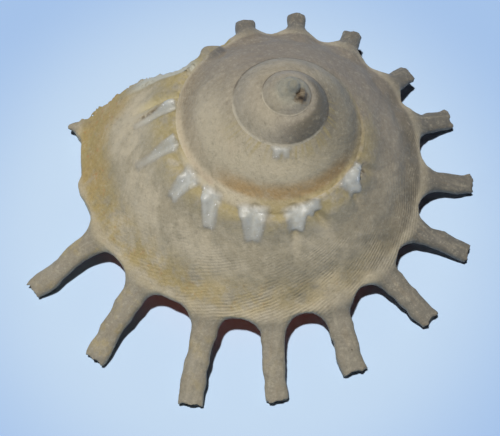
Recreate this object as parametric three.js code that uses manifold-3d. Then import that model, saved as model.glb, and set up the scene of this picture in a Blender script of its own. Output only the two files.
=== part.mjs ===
// A sunburst carrier shell: a low coiled cone with a flared rim that carries a ring of hollow
// finger-like digits, an umbilicus under the spire and a slanting mouth. It lies on the tips of
// its digits. Lengths are millimetres, and +Z is up from the surface that it lies on.
import * as THREE from 'three';
import { mergeVertices } from 'three/addons/utils/BufferGeometryUtils.js';
import Module from 'manifold-3d';

const wasm = await Module();
wasm.setup();

// The coil. A turn is one lap around the axis: turn 0 is the rim just behind the lip, and
// earlier laps are negative. Every length of the coil grows by GROWTH from one lap to the next.
const RIM_RADIUS = 48;
const GROWTH = 1.973;
const LIP_ANGLE = 182.5;
const FIRST_TURN = -4.3;
const SLANT_TURN = -0.2;

// How it lies: the axis leans a little, with the apex over this point of its footprint.
const APEX = new THREE.Vector3(11.47, 12.63, 39);
const LEAN = 8.1;
const LEAN_TOWARDS = 25.3;

// The whorl in section: distance out from the axis and down from the apex, in rim radii of the
// same turn, and the turn at which that line of the shell ends at the lip.
const OUTER_SECTION = [
  [0.44, 0.440, 0.05], [0.505, 0.446, 0.20], [0.56, 0.470, 0.130], [0.64, 0.524, 0.112],
  [0.72, 0.583, 0.100], [0.80, 0.651, 0.088], [0.87, 0.728, 0.076], [0.92, 0.784, 0.068],
  [0.96, 0.815, 0.062], [1.00, 0.838, 0.056], [1.00, 0.860, 0.054], [0.975, 0.880, 0.045],
  [0.90, 0.888, -0.01], [0.75, 0.888, -0.05], [0.55, 0.888, -0.075], [0.35, 0.880, -0.09],
  [0.22, 0.850, -0.09], [0.145, 0.790, -0.085], [0.105, 0.680, -0.08], [0.085, 0.560, -0.075],
  [0.075, 0.385, -0.07], [0.20, 0.430, -0.04],
];

// The hollow inside the whorl, point for point one wall in from the outer section.
const INNER_SECTION = [
  [0.44, 0.486], [0.505, 0.487], [0.555, 0.507], [0.63, 0.560],
  [0.70, 0.613], [0.775, 0.682], [0.84, 0.757], [0.885, 0.808],
  [0.915, 0.830], [0.945, 0.842], [0.955, 0.848], [0.93, 0.853],
  [0.87, 0.855], [0.75, 0.855], [0.55, 0.855], [0.365, 0.848],
  [0.25, 0.822], [0.185, 0.775], [0.145, 0.680], [0.125, 0.580],
  [0.13, 0.500], [0.22, 0.487],
];
const HOLLOW_FIRST_TURN = -1.1;
const HOLLOW_PAST_LIP = 0.06;

// The digits along the rim, from the lip backwards: turn, length, sweep away from straight out
// (negative is back against the growth), width, and height of the tip's middle.
const TOUCHING = 1.0;
const DIGITS = [
  [0.046, 2.6, -10, 2.6, 1.5],
  [-0.052, 20.5, -11, 4.6, TOUCHING],
  [-0.106, 21.0, -12, 5.0, TOUCHING],
  [-0.168, 21.0, -12, 5.2, TOUCHING],
  [-0.225, 18.5, -6, 5.0, TOUCHING],
  [-0.284, 16.5, 2, 5.4, TOUCHING],
  [-0.340, 16.5, -6, 4.8, TOUCHING],
  [-0.395, 15.0, -10, 4.4, TOUCHING],
  [-0.450, 13.0, -13, 4.2, TOUCHING],
  [-0.517, 11.0, -7, 3.7, TOUCHING],
  [-0.572, 8.2, -9, 3.5, 3.8],
  [-0.639, 8.2, -13, 3.5, 6.2],
  [-0.707, 8.7, -6, 3.5, 8.6],
  [-0.775, 7.0, 8, 3.4, 12.0],
  [-0.833, 3.2, -20, 3.6, 15.4],
];
const DIGIT_DEPTH_ROOT = 3.4;
const DIGIT_DEPTH_TIP = 2.7;
const DIGIT_FLARE = 1.9;
const DIGIT_SIDES = 8;
const TIP_HOLLOW_DEPTH = 2.6;
const TIP_HOLLOW_SHARE = 0.5;

// The stubs of the lap before, left fused on the body whorl at its seam: turn, outer end in rim
// radii, and width.
const STUBS = [
  [0.050, 0.67, 3.0], [-0.010, 0.73, 3.2], [-0.068, 0.66, 3.4], [-0.125, 0.64, 3.6],
  [-0.186, 0.66, 4.0], [-0.246, 0.63, 3.4], [-0.284, 0.56, 3.4], [-0.360, 0.62, 3.4],
  [-0.400, 0.55, 2.6],
];
const STUB_RISE = 0.9;

// Joins leave slivers up to this long, which are taken out.
const SLIVER = 0.06;

// The worn nipple of the first laps, and the ceiling of the umbilicus below it: radius, and
// height over the apex.
const NIPPLE = [[0, 0], [0.9, -0.25], [1.6, -0.9], [2.6, -2.4], [3.2, -6.0], [2.6, -10], [0, -12]];
const NIPPLE_SIDES = 12;

const { degToRad } = THREE.MathUtils;
const leanAxis = new THREE.Vector3(-Math.sin(degToRad(LEAN_TOWARDS)), Math.cos(degToRad(LEAN_TOWARDS)), 0);
const leanTurn = new THREE.Quaternion().setFromAxisAngle(leanAxis, degToRad(LEAN));

// A point of the coil, in the frame that the shell lies in.
function coilPoint(turn, out, down) {
  const size = RIM_RADIUS * GROWTH ** turn;
  const angle = degToRad(LIP_ANGLE) - 2 * Math.PI * turn;
  const point = new THREE.Vector3(out * Math.cos(angle), out * Math.sin(angle), -down);
  return point.multiplyScalar(size).applyQuaternion(leanTurn).add(APEX);
}

// A closed solid through a row of rings, with flat triangulated ends.
function loft(rings, capOutline) {
  const count = rings[0].length;
  const last = (rings.length - 1) * count;
  const index = [];
  for (let ring = 0; ring + 1 < rings.length; ring += 1) {
    for (let corner = 0; corner < count; corner += 1) {
      const a = ring * count + corner;
      const b = ring * count + (corner + 1) % count;
      index.push(a, b, b + count, a, b + count, a + count);
    }
  }
  for (const [a, b, c] of THREE.ShapeUtils.triangulateShape(capOutline, [])) {
    index.push(a, c, b, last + a, last + b, last + c);
  }
  return toSolid(rings.flat(), index);
}

function toSolid(points, index) {
  const geometry = new THREE.BufferGeometry().setFromPoints(points);
  geometry.setIndex(index);
  return geometryToSolid(geometry);
}

// A closed geometry as a manifold solid, turned the right way out.
function geometryToSolid(geometry) {
  const bare = geometry.clone();
  bare.deleteAttribute('normal');
  bare.deleteAttribute('uv');
  const merged = mergeVertices(bare, 1e-4);
  const vertProperties = new Float32Array(merged.attributes.position.array);
  const triVerts = new Uint32Array(merged.index.array);
  if (signedVolume(vertProperties, triVerts) < 0) {
    for (let face = 0; face < triVerts.length; face += 3) {
      [triVerts[face], triVerts[face + 1]] = [triVerts[face + 1], triVerts[face]];
    }
  }
  return new wasm.Manifold(new wasm.Mesh({ numProp: 3, vertProperties, triVerts }));
}

function signedVolume(positions, faces) {
  const corner = (i) => new THREE.Vector3().fromArray(positions, 3 * faces[i]);
  let volume = 0;
  for (let face = 0; face < faces.length; face += 3) {
    volume += corner(face).dot(corner(face + 1).cross(corner(face + 2))) / 6;
  }
  return volume;
}

// A stretch of whorl between two turns. The last stretch ends along the slanting lip.
function whorlStretch(section, firstTurn, lastTurnOf, steps) {
  const rings = [];
  for (let step = 0; step <= steps; step += 1) {
    rings.push(section.map(([out, down], corner) => {
      const turn = firstTurn + (lastTurnOf(corner) - firstTurn) * step / steps;
      return coilPoint(turn, out, down);
    }));
  }
  return loft(rings, section.map(([out, down]) => new THREE.Vector2(out, down)));
}

function makeWhorls() {
  const stretches = [
    [FIRST_TURN, -3.5, 9], [-3.5, -2.7, 12], [-2.7, -1.85, 17], [-1.85, -1.0, 22],
    [-1.0, SLANT_TURN, 28],
  ];
  const solids = stretches.map(([from, to, steps]) => whorlStretch(OUTER_SECTION, from, () => to, steps));
  const lipTurn = (corner) => OUTER_SECTION[corner][2];
  solids.push(whorlStretch(OUTER_SECTION, SLANT_TURN, lipTurn, 10));
  return joinAll(solids);
}

function makeHollow() {
  const deep = whorlStretch(INNER_SECTION, HOLLOW_FIRST_TURN, () => SLANT_TURN, 22);
  const pastLip = (corner) => OUTER_SECTION[corner][2] + HOLLOW_PAST_LIP;
  return deep.add(whorlStretch(INNER_SECTION, SLANT_TURN, pastLip, 8));
}

function makeNipple() {
  const profile = NIPPLE.map(([radius, height]) => new THREE.Vector2(radius, height));
  const lathe = new THREE.LatheGeometry(profile, NIPPLE_SIDES);
  lathe.rotateX(Math.PI / 2);
  lathe.applyQuaternion(leanTurn);
  lathe.translate(APEX.x, APEX.y, APEX.z);
  return geometryToSolid(lathe);
}

// One ring of a bar: an oval of the given width and depth, square to the bar.
function ovalRing(middle, side, up, width, depth, sides) {
  const ring = [];
  for (let corner = 0; corner < sides; corner += 1) {
    const angle = 2 * Math.PI * (corner + 0.5) / sides;
    ring.push(middle.clone()
      .addScaledVector(side, Math.cos(angle) * width / 2)
      .addScaledVector(up, Math.sin(angle) * depth / 2));
  }
  return ring;
}

function unitCircle(sides) {
  return ovalRing(new THREE.Vector3(), new THREE.Vector3(1, 0, 0), new THREE.Vector3(0, 1, 0), 2, 2, sides)
    .map((point) => new THREE.Vector2(point.x, point.y));
}

// A digit: a bar that flares into the rim, droops to its tip and is hollow at its broken end.
function makeDigit([turn, length, sweep, width, tipHeight]) {
  const up = new THREE.Vector3(0, 0, 1);
  const root = coilPoint(turn, 0.985, 0.858);
  const outward = root.clone().sub(coilPoint(turn, 0, 0.858)).setZ(0).normalize();
  const heading = outward.clone().applyAxisAngle(up, degToRad(-sweep));
  const tip = root.clone().addScaledVector(heading, length).setZ(tipHeight);
  const along = tip.clone().sub(root).normalize();
  const side = new THREE.Vector3().crossVectors(along, up).normalize();
  const square = new THREE.Vector3().crossVectors(side, along);
  const ringAt = (middle, across, deep) => ovalRing(middle, side, square, across, deep, DIGIT_SIDES);
  const onBar = (share) => root.clone().lerp(tip, share);
  const flareShare = Math.min(0.5, 3.2 / length);
  const rings = [
    ringAt(coilPoint(turn, 0.90, 0.80), width * 1.1, DIGIT_DEPTH_ROOT * 0.7),
    ringAt(coilPoint(turn, 0.95, 0.845), width * 1.6, DIGIT_DEPTH_ROOT),
    ringAt(root, width * DIGIT_FLARE, DIGIT_DEPTH_ROOT),
    ringAt(onBar(flareShare * 0.5), width * 1.3, DIGIT_DEPTH_ROOT * 0.95),
    ringAt(onBar(flareShare), width * 1.05, DIGIT_DEPTH_ROOT * 0.9),
    ringAt(onBar(0.7), width * 0.95, (DIGIT_DEPTH_ROOT * 0.8 + DIGIT_DEPTH_TIP) / 1.9),
    ringAt(tip, width, DIGIT_DEPTH_TIP),
    ringAt(tip, width * TIP_HOLLOW_SHARE, DIGIT_DEPTH_TIP * TIP_HOLLOW_SHARE),
    ringAt(tip.clone().addScaledVector(along, -Math.min(TIP_HOLLOW_DEPTH, length * 0.4)),
      width * 0.35, DIGIT_DEPTH_TIP * 0.35),
  ];
  return loft(rings, unitCircle(DIGIT_SIDES));
}

// A stub of the lap before: a flat finger lying on the body whorl, from the seam outwards.
function makeStub([turn, outerEnd, width]) {
  const sides = 6;
  const topOf = (out) => {
    const next = OUTER_SECTION.findIndex(([reach]) => reach > out);
    const [outA, downA] = OUTER_SECTION[next - 1];
    const [outB, downB] = OUTER_SECTION[next];
    return downA + (downB - downA) * (out - outA) / (outB - outA);
  };
  const start = coilPoint(turn, 0.485, 0.44);
  const middle = coilPoint(turn, (0.5 + outerEnd) / 2, topOf((0.5 + outerEnd) / 2));
  const end = coilPoint(turn, outerEnd, topOf(outerEnd) + 0.008);
  const along = end.clone().sub(start).normalize();
  const side = new THREE.Vector3().crossVectors(along, new THREE.Vector3(0, 0, 1)).normalize();
  const square = new THREE.Vector3().crossVectors(side, along);
  const rings = [
    ovalRing(start, side, square, width * 1.5, 2.4 * STUB_RISE, sides),
    ovalRing(middle, side, square, width, 2.2 * STUB_RISE, sides),
    ovalRing(end, side, square, width * 0.8, 1.6 * STUB_RISE, sides),
  ];
  return loft(rings, unitCircle(sides));
}

function joinAll(solids) {
  return solids.reduce((joined, solid) => joined.add(solid));
}

// The surface that the shell lies on wears a small flat under each tip that touches it.
function cutFlats(solid) {
  const below = new THREE.BoxGeometry(300, 300, 40).translate(0, 0, -20);
  return solid.subtract(geometryToSolid(below));
}

// The whole shell, without the slivers and crumbs that the joins leave.
function largestBody(solid) {
  const bodies = solid.simplify(SLIVER).decompose();
  return bodies.reduce((largest, body) => (body.volume() > largest.volume() ? body : largest));
}

function solidToGeometry(solid) {
  const { vertProperties, triVerts } = solid.getMesh();
  const geometry = new THREE.BufferGeometry();
  geometry.setAttribute('position', new THREE.BufferAttribute(vertProperties, 3));
  geometry.setIndex(new THREE.BufferAttribute(triVerts, 1));
  geometry.computeVertexNormals();
  return geometry;
}

function makeShell() {
  const grown = joinAll([makeWhorls(), makeNipple(), ...STUBS.map(makeStub), ...DIGITS.map(makeDigit)]);
  const shell = new THREE.Mesh(
    solidToGeometry(largestBody(cutFlats(grown.subtract(makeHollow())))),
    new THREE.MeshStandardMaterial({ color: 0xbfb193, roughness: 0.6, metalness: 0 }));
  shell.name = 'shell';
  return shell;
}

const part = new THREE.Group();
part.add(makeShell());

export default part;
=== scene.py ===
"""The looks of a sunburst carrier shell: a low coiled cone with a ring of hollow digits.

The whorls, digits and stubs are grown by Geometry Nodes on the same coil as the CAD solid,
joined as volumes so that they run into each other as grown shell does, and given their relief
by one more tree. Lengths are millimetres until the mesh is finished, then metres.
"""
import math

import bmesh
import bpy
import numpy as np
import openvdb
from mathutils import Matrix, Quaternion, Vector


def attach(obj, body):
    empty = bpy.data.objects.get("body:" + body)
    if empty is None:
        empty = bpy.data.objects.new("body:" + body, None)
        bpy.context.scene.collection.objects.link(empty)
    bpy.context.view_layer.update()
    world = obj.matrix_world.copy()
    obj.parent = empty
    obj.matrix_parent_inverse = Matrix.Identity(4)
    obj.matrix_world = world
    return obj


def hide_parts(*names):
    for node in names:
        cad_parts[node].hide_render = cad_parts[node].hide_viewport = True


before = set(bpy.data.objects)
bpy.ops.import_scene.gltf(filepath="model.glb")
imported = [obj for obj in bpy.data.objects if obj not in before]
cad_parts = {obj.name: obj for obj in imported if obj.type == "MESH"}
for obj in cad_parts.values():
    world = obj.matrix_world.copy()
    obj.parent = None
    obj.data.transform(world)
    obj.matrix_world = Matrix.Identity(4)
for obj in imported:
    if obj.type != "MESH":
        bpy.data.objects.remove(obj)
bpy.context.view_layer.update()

MM = 0.001

# The coil, as in the part's source. Turn 0 is the rim just behind the lip, earlier laps are
# negative, and each lap is GROWTH times the size of the one before.
RIM_RADIUS = 48.0
GROWTH = 1.973
LIP_ANGLE = math.radians(182.5)
FIRST_TURN = -4.3
SLANT_TURN = -0.2
APEX = Vector((11.47, 12.63, 39.0))
LEAN = math.radians(8.1)
LEAN_TOWARDS = math.radians(25.3)
LEAN_AXIS = Vector((-math.sin(LEAN_TOWARDS), math.cos(LEAN_TOWARDS), 0.0))
LEAN_TURN = Quaternion(LEAN_AXIS, LEAN)

# The whorl in section: out from the axis and down from the apex, in rim radii of the same turn,
# and the turn at which that line of the shell ends at the lip.
OUTER_SECTION = [
    (0.44, 0.430, 0.05), (0.505, 0.434, 0.20), (0.56, 0.464, 0.130), (0.64, 0.524, 0.112),
    (0.72, 0.583, 0.100), (0.80, 0.651, 0.088), (0.87, 0.728, 0.076), (0.92, 0.784, 0.068),
    (0.96, 0.815, 0.062), (1.00, 0.838, 0.056), (1.00, 0.860, 0.054), (0.975, 0.880, 0.045),
    (0.90, 0.888, -0.01), (0.75, 0.888, -0.05), (0.55, 0.888, -0.075), (0.35, 0.880, -0.09),
    (0.22, 0.850, -0.09), (0.145, 0.790, -0.085), (0.105, 0.680, -0.08), (0.085, 0.560, -0.075),
    (0.075, 0.385, -0.07), (0.20, 0.430, -0.04),
]
# The upper side of the oldest laps, which are rounder and have no flared edge. It takes the
# place of the first rows of the outer section, and the whorl changes over between two turns.
YOUNG_TOP = [
    (0.44, 0.436, 0.05), (0.505, 0.440, 0.20), (0.56, 0.452, 0.130), (0.64, 0.486, 0.112),
    (0.72, 0.537, 0.100), (0.80, 0.605, 0.088), (0.87, 0.683, 0.076), (0.92, 0.748, 0.068),
    (0.965, 0.812, 0.062), (1.00, 0.866, 0.056), (1.003, 0.880, 0.054),
]
YOUNG_UNTIL = -1.85
GROWN_FROM = -1.40
# The hollow, point for point one wall in from the outer section.
INNER_SECTION = [
    (0.44, 0.486), (0.505, 0.487), (0.555, 0.507), (0.63, 0.560), (0.70, 0.613),
    (0.775, 0.682), (0.84, 0.757), (0.885, 0.808), (0.915, 0.830), (0.945, 0.842),
    (0.955, 0.848), (0.93, 0.853), (0.87, 0.855), (0.75, 0.855), (0.55, 0.855),
    (0.365, 0.848), (0.25, 0.822), (0.185, 0.775), (0.145, 0.680), (0.125, 0.580),
    (0.13, 0.500), (0.22, 0.487),
]
HOLLOW_FIRST_TURN = -1.1
HOLLOW_PAST_LIP = 0.06
# How unevenly the edge of the lip is chipped, in turns.
LIP_CHIPS = 0.060
SECTION_SMOOTHING = 4
STEPS_PER_TURN = 260
CAP_CENTRE = (0.56, 0.70, 0.02)
# The lap before spreads a little over the body whorl between two turns. The rim is worn back
# along two stretches beside the lip: from turn, to turn, and how far in rim radii.
SKIRT_FROM = -1.265
SKIRT_TO = -1.035
SKIRT_OUT = 0.058
SKIRT_DOWN = 0.034
WORN_RIM = [(0.003, 0.044, 0.031), (-0.048, -0.015, 0.013)]

# The digits along the rim: turn, length, sweep away from straight out (negative is back against
# the growth), width, and height of the tip's middle.
TOUCHING = 1.0
DIGITS = [
    (0.054, 3.0, -22, 2.2, 2.6),
    (-0.052, 20.5, -11, 4.6, TOUCHING),
    (-0.106, 21.0, -12, 5.0, TOUCHING),
    (-0.168, 21.0, -12, 5.2, TOUCHING),
    (-0.225, 18.5, -6, 5.0, TOUCHING),
    (-0.284, 16.5, 2, 5.4, TOUCHING),
    (-0.340, 16.5, -6, 4.8, TOUCHING),
    (-0.395, 15.0, -10, 4.4, TOUCHING),
    (-0.450, 13.0, -13, 4.7, TOUCHING),
    (-0.517, 10.6, -7, 4.6, TOUCHING),
    (-0.572, 7.6, -9, 4.5, 3.8),
    (-0.639, 7.0, -13, 4.5, 6.2),
    (-0.707, 7.3, -6, 4.2, 8.6),
    (-0.775, 5.6, 8, 4.2, 12.0),
    (-0.833, 3.2, -20, 3.4, 15.6),
]
BROKEN_OFF = (0, 14)
BROKEN_OUTLINE = [
    (-1.00, 0.0, 0.0), (-1.00, 0.90, 0.60), (0.00, 1.50, 1.00), (0.50, 1.05, 0.85),
    (0.90, 0.62, 0.60), (1.00, 0.40, 0.40), (1.00, 0.0, 0.0),
]
DIGIT_DEPTH = 3.4
# Out and down in rim radii of a digit's root and inner end, how far the middle of a tip that
# touches the ground is lifted, how ragged the broken tips are, and how far a digit bends.
DIGIT_ROOT = (0.985, 0.858)
DIGIT_INNER = (0.90, 0.80)
DIGIT_SIDES = 28
TIP_LIFT = 0.3
DIGIT_RAG = 3.2
DIGIT_BEND = 2.4
# A digit from its inner end to its tip and back into the hollow of the tip: share of the way
# from root to tip (negative is inside the rim), share of the width and share of the depth.
DIGIT_OUTLINE = [
    (-1.00, 0.0, 0.0), (-1.00, 0.70, 0.40), (-0.50, 1.05, 0.66), (0.00, 1.35, 0.90),
    (0.08, 1.28, 0.94), (0.18, 1.18, 0.94), (0.26, 1.14, 0.93), (0.35, 1.10, 0.92),
    (0.45, 1.08, 0.90), (0.55, 1.07, 0.88), (0.65, 1.07, 0.86), (0.75, 1.08, 0.83),
    (0.85, 1.10, 0.81), (0.95, 1.13, 0.79), (0.995, 1.12, 0.78), (1.00, 1.02, 0.70),
    (0.985, 0.80, 0.46), (0.90, 0.66, 0.38), (0.76, 0.40, 0.25), (0.74, 0.0, 0.0),
]

# The stubs of the lap before, left fused on the body whorl at its seam: turn at the seam, turn
# and distance out of the outer end in rim radii, and width.
STUBS = [
    (0.051, 0.034, 0.700, 2.1), (-0.012, -0.015, 0.720, 2.4), (-0.070, -0.074, 0.662, 3.2),
    (-0.116, -0.135, 0.668, 3.4), (-0.182, -0.192, 0.668, 4.2), (-0.246, -0.246, 0.622, 3.8),
    (-0.275, -0.281, 0.562, 3.2), (-0.354, -0.352, 0.602, 3.4), (-0.388, -0.394, 0.535, 1.8),
    (-1.196, -1.199, 0.600, 1.5), (-1.222, -1.226, 0.595, 1.2),
]
STUB_DEPTH = 1.5
STUB_INNER = (0.480, 0.440)
STUB_ROOT_OUT = 0.53
STUB_SIDES = 20
STUB_RAG = 1.5
STUB_BEND = 0.6
STUB_OUTLINE = [
    (-1.00, 0.0, 0.0), (-1.00, 2.3, 0.9), (-0.60, 2.2, 1.0), (0.00, 1.60, 1.0),
    (0.30, 1.12, 0.95), (0.60, 0.92, 0.90), (0.88, 0.88, 0.85), (0.97, 0.84, 0.72),
    (1.00, 0.60, 0.50), (0.95, 0.45, 0.25), (0.80, 0.30, 0.12), (0.78, 0.0, 0.0),
]

# A crest on the body whorl just behind the lip, from the seam outwards: turn and out.
LIP_CREST = [(0.073, 0.51), (0.069, 0.56), (0.064, 0.61), (0.058, 0.655), (0.053, 0.70)]

# The worn nipple of the first laps: radius, and height over the apex.
NIPPLE = [
    (0, 0.5), (0.8, 0.25), (1.35, -0.6), (1.8, -2.2), (3.0, -6.0), (2.6, -10), (0, -12),
]

# Volumes: the size of a cell, how wide the band of known distances is, and how softly each
# kind of piece runs into the whorls.
CELL = 0.35
BAND_CELLS = 14
DIGIT_FILLET = 4.2
BROKEN_FILLET = 1.6
STUB_FILLET = 0.6
NIPPLE_FILLET = 0.5
MOUTH_EDGE = 0.35
MOST_TRIANGLES = 190000

# How far the growth lines slant, in turns, and how many times the seams are smoothed.
GROWTH_LINE_SLANT = 0.29
SEAM_WEAR = 6
# The relief, in millimetres.
DIGIT_RIDGE = 0.45
DIGIT_RIDGE_WIDTH = 2.6
STUB_RIDGE = 0.5
STUB_RIDGE_WIDTH = 1.9
SEAM_HOLLOW = 1.05
LIP_HOLLOW = 0.9
GROWTH_FOLD = 0.42
RUMPLE = 0.40
APEX_LUMPS = 0.9
LIP_WIDTH = 5.5
APEX_PIT = (13.1, 10.9, 36.6)
APEX_PIT_WIDTH = 1.5
APEX_PIT_DEPTH = 1.1
# Small brown pits at the ends of the last stubs: place, and width.
SEAM_PITS = [((18.1, -7.9, 21.0), 0.75), ((25.9, -1.4, 20.1), 0.7), ((26.3, 4.1, 20.9), 0.6)]

# The photograph's camera, in millimetres in the frame of the part.
CAMERA_PLACE = Vector((-0.33, -106.47, 271.96))
CAMERA_LOOKS = Vector((0.0, 0.3569, -0.9341))
CAMERA_ROLL = math.radians(-4.86)
CAMERA_LENS = 86.4
CAMERA_SENSOR = 36.0


def srgb(red, green, blue):
    """A colour given as seen on a screen, 0 to 255, as the shader wants it."""
    shares = [value / 255 for value in (red, green, blue)]
    linear = [s / 12.92 if s <= 0.04045 else ((s + 0.055) / 1.055) ** 2.4 for s in shares]
    return (*linear, 1.0)


# The place of a point on the coil.


def coil_point(turn, out, down):
    size = RIM_RADIUS * GROWTH ** turn
    angle = LIP_ANGLE - 2 * math.pi * turn
    point = Vector((out * math.cos(angle), out * math.sin(angle), -down)) * size
    return LEAN_TURN @ point + APEX


def top_of_whorl(out):
    """How far down the whorl's upper side lies at that distance out, in rim radii."""
    upper = OUTER_SECTION[1:10]
    return float(np.interp(out, [row[0] for row in upper], [row[1] for row in upper]))


def smooth_loop(rows, pieces):
    """A closed loop of rows with more rows between them, on a smooth curve."""
    rows = np.array(rows, float)
    before, after, beyond = np.roll(rows, 1, 0), np.roll(rows, -1, 0), np.roll(rows, -2, 0)
    finer = []
    for step in range(pieces):
        t = step / pieces
        weights = (-t + 2 * t**2 - t**3, 2 - 5 * t**2 + 3 * t**3, t + 4 * t**2 - 3 * t**3, t**3 - t**2)
        finer.append(sum(w * part for w, part in zip(weights, (before, rows, after, beyond))) / 2)
    return np.stack(finer, 1).reshape(-1, rows.shape[1])


# Node trees, written as arithmetic.


class Value:
    """What a socket of a node tree gives. Arithmetic with values adds the nodes for it."""

    def __init__(self, socket):
        self.socket = socket
        self.tree = socket.id_data

    def __add__(self, other):
        return sum_of("ADD", self, other)

    def __radd__(self, other):
        return sum_of("ADD", other, self)

    def __sub__(self, other):
        return sum_of("SUBTRACT", self, other)

    def __rsub__(self, other):
        return sum_of("SUBTRACT", other, self)

    def __mul__(self, other):
        return sum_of("MULTIPLY", self, other)

    def __truediv__(self, other):
        return sum_of("DIVIDE", self, other)

    def __pow__(self, other):
        return sum_of("POWER", self, other)

    def __rpow__(self, other):
        return sum_of("POWER", other, self)


def feed(node, inputs):
    """Gives the inputs of a node, by name or number, a link or a number."""
    for key, value in dict(inputs).items():
        if isinstance(value, Value):
            node.id_data.links.new(value.socket, node.inputs[key])
        else:
            node.inputs[key].default_value = value


def made_by(tree, kind, inputs=(), output=0, **settings):
    """What an output of a new node gives, with these inputs and settings."""
    node = tree.nodes.new(kind)
    for name, setting in settings.items():
        setattr(node, name, setting)
    feed(node, inputs)
    return Value(node.outputs[output])


def tree_of(*values):
    return next(value.tree for value in values if isinstance(value, Value))


def is_vector(value):
    return value.socket.type == "VECTOR" if isinstance(value, Value) else hasattr(value, "__len__")


def sum_of(operation, *values):
    """A sum of numbers or of vectors. A vector and a number can only be multiplied."""
    vectors = [is_vector(value) for value in values]
    kind = "ShaderNodeVectorMath" if any(vectors) else "ShaderNodeMath"
    inputs = dict(enumerate(values))
    if any(vectors) and not all(vectors):
        operation = "SCALE"
        inputs = {0: values[0], "Scale": values[1]}
    output = "Value" if operation in {"LENGTH", "DISTANCE"} else 0
    return made_by(tree_of(*values), kind, inputs, output, operation=operation)


def vector_of(x, y, z):
    return made_by(tree_of(x, y, z), "ShaderNodeCombineXYZ", {0: x, 1: y, 2: z})


def parts_of(vector):
    node = vector.tree.nodes.new("ShaderNodeSeparateXYZ")
    feed(node, {0: vector})
    return [Value(socket) for socket in node.outputs]


def between(value, low, high, at_low=0.0, at_high=1.0):
    """Eases from at_low to at_high as value goes from low to high."""
    inputs = dict(enumerate((value, low, high, at_low, at_high)))
    return made_by(value.tree, "ShaderNodeMapRange", inputs, interpolation_type="SMOOTHSTEP")


def within(value, low, high, ease):
    """One between low and high, easing to nothing beyond them."""
    rise = between(value, low - ease, low + ease)
    return rise * between(value, high - ease, high + ease, 1.0, 0.0)


def turned(vector, axis, angle):
    inputs = {"Vector": vector, "Axis": axis, "Angle": angle}
    return made_by(vector.tree, "ShaderNodeVectorRotate", inputs, rotation_type="AXIS_ANGLE")


def noise(vector, scale, detail=2.0, roughness=0.5, seed=0.0):
    """Cloudy noise from about 0.25 to 0.75, around 0.5."""
    inputs = {"Vector": vector, "W": seed, "Scale": scale, "Detail": detail,
              "Roughness": roughness}
    return made_by(vector.tree, "ShaderNodeTexNoise", inputs, noise_dimensions="4D")


def coil_place(place):
    """Where a point in millimetres lies on the coil: its turn, its distance out in rim radii of
    that turn, its distance from the axis and its angle around it."""
    from_apex = place - APEX
    upright = turned(from_apex, LEAN_AXIS, -LEAN)
    x, y, _ = parts_of(upright)
    angle = sum_of("ARCTAN2", y, x)
    reach = sum_of("LENGTH", vector_of(x, y, 0.0))
    lap_share = (LIP_ANGLE - angle) / (2 * math.pi)
    rim = GROWTH ** lap_share * RIM_RADIUS
    growths = sum_of("LOGARITHM", reach / rim, GROWTH)
    laps_in = sum_of("FLOOR", growths * -1.0)
    past_lip = sum_of("GREATER_THAN", lap_share, 0.2)
    laps_in = sum_of("MAXIMUM", laps_in, past_lip)
    turn = lap_share - laps_in
    out = GROWTH ** (growths + laps_in)
    return turn, out, reach, angle


# Geometry Nodes: helpers for trees that grow a mesh.


def new_tree(name, **labels):
    """A geometry tree with a mesh output, and its inputs, named by their kind."""
    tree = bpy.data.node_groups.new(name, "GeometryNodeTree")
    for kind in labels:
        for label in labels[kind]:
            tree.interface.new_socket(label, in_out="INPUT", socket_type="NodeSocket" + kind)
    tree.interface.new_socket("Geometry", in_out="OUTPUT", socket_type="NodeSocketGeometry")
    given = tree.nodes.new("NodeGroupInput").outputs
    return tree, {socket.name: Value(socket) for socket in given if socket.name}


def finish_tree(tree, geometry, material):
    real = made_by(tree, "GeometryNodeRealizeInstances", {0: geometry})
    coated = made_by(tree, "GeometryNodeSetMaterial", {"Geometry": real, "Material": material})
    feed(tree.nodes.new("NodeGroupOutput"), {0: coated})
    return tree


def in_scene(name, data):
    """A new object with this data, linked to the scene."""
    holder = bpy.data.objects.new(name, data)
    bpy.context.scene.collection.objects.link(holder)
    return holder


def grow(tree, values, mesh=None):
    """The mesh that a tree makes from these values, as a plain mesh."""
    holder = in_scene("grown", mesh or bpy.data.meshes.new("seed"))
    modifier = holder.modifiers.new("grow", "NODES")
    modifier.node_group = tree
    identifiers = {item.name: item.identifier for item in tree.interface.items_tree}
    for label, value in values.items():
        modifier[identifiers[label]] = value
    graph = bpy.context.evaluated_depsgraph_get()
    grown = bpy.data.meshes.new_from_object(holder.evaluated_get(graph))
    holder.modifiers.remove(modifier)
    bpy.data.objects.remove(holder)
    return grown


def rows_object(name, rows, edges=()):
    """An object whose vertices carry a table's rows, or the points of lines, for a tree to read."""
    mesh = bpy.data.meshes.new(name)
    mesh.from_pydata([tuple(row) for row in rows], edges, [])
    return in_scene(name, mesh)


def geometry_of(holder):
    return made_by(holder.tree, "GeometryNodeObjectInfo", {0: holder}, "Geometry")


def row_at(table, index):
    """The row of a table object at that index, as a vector."""
    place = made_by(table.tree, "GeometryNodeInputPosition")
    inputs = {"Geometry": geometry_of(table), "Value": place, "Index": index}
    return made_by(table.tree, "GeometryNodeSampleIndex", inputs, "Value",
                   data_type="FLOAT_VECTOR")


def ring_grid(rings, corners):
    """A grid of rings by corners, and each vertex's ring and corner."""
    sizes = {"Vertices X": rings, "Vertices Y": corners}
    index = made_by(rings.tree, "GeometryNodeInputIndex")
    ring = sum_of("FLOOR", index / corners)
    mesh = made_by(rings.tree, "GeometryNodeMeshGrid", sizes, "Mesh")
    return mesh, ring, index - ring * corners


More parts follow.
